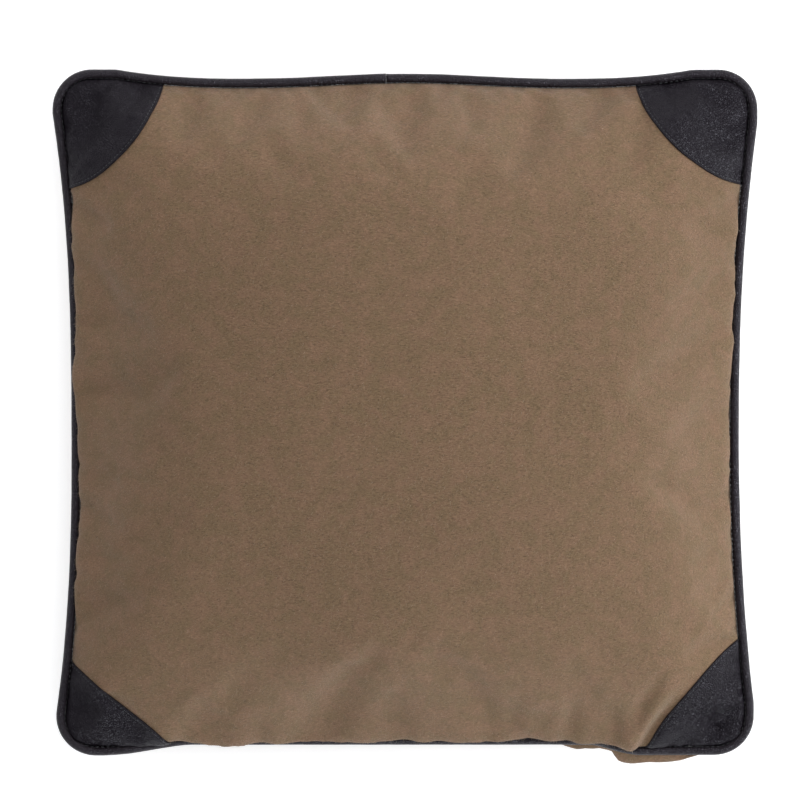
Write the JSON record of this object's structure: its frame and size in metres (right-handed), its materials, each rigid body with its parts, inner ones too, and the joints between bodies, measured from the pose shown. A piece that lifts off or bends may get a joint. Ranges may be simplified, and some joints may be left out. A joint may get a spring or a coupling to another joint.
{
  "type": "throw pillow",
  "caption": "Square wool throw pillow with quarter-round leather corner patches, leather piping all round and a hidden zip in its bottom seam, over a filled insert.",
  "frame": {"origin": "middle of the flat underside that the pillow rests on", "axes": "+Z out of the front face, +Y to the top edge, +X to the right seen from the front; the pillow lies on its back"},
  "size_m": [0.46, 0.4508, 0.13],
  "materials": {
    "wool": "matte",
    "leather": "satin",
    "ticking": "matte",
    "filling": "matte",
    "cord": "matte",
    "tape": "matte",
    "nylon": "satin",
    "bronze": "satin"
  },
  "bodies": {
    "cover": {"front_panel": "wool", "back_panel": "wool", "corner_patch_top_left": "leather", "corner_patch_top_right": "leather", "corner_patch_bottom_left": "leather", "corner_patch_bottom_right": "leather", "piping_cover": "leather", "piping_cord": "cord", "insert_casing_front": "ticking", "insert_casing_back": "ticking", "insert_filling": "filling", "zip_tape_upper": "tape", "zip_tape_lower": "tape", "zip_coil_upper": "nylon", "zip_coil_lower": "nylon", "zip_stop_left": "bronze", "zip_stop_right": "bronze"},
    "slider": {"zip_slider": "bronze"},
    "pull": {"zip_pull": "bronze"}
  },
  "joints": [
    {"name": "zip_slide", "type": "slide", "parent": "cover", "child": "slider", "axis": [-1, 0, 0], "range_m": [0, 0.2404]},
    {"name": "zip_pull_swing", "type": "hinge", "parent": "slider", "child": "pull", "pos_m": [0.1102, -0.21475, 0.0492], "axis": [0, 0, 1], "range_deg": [0, 180]}
  ]
}
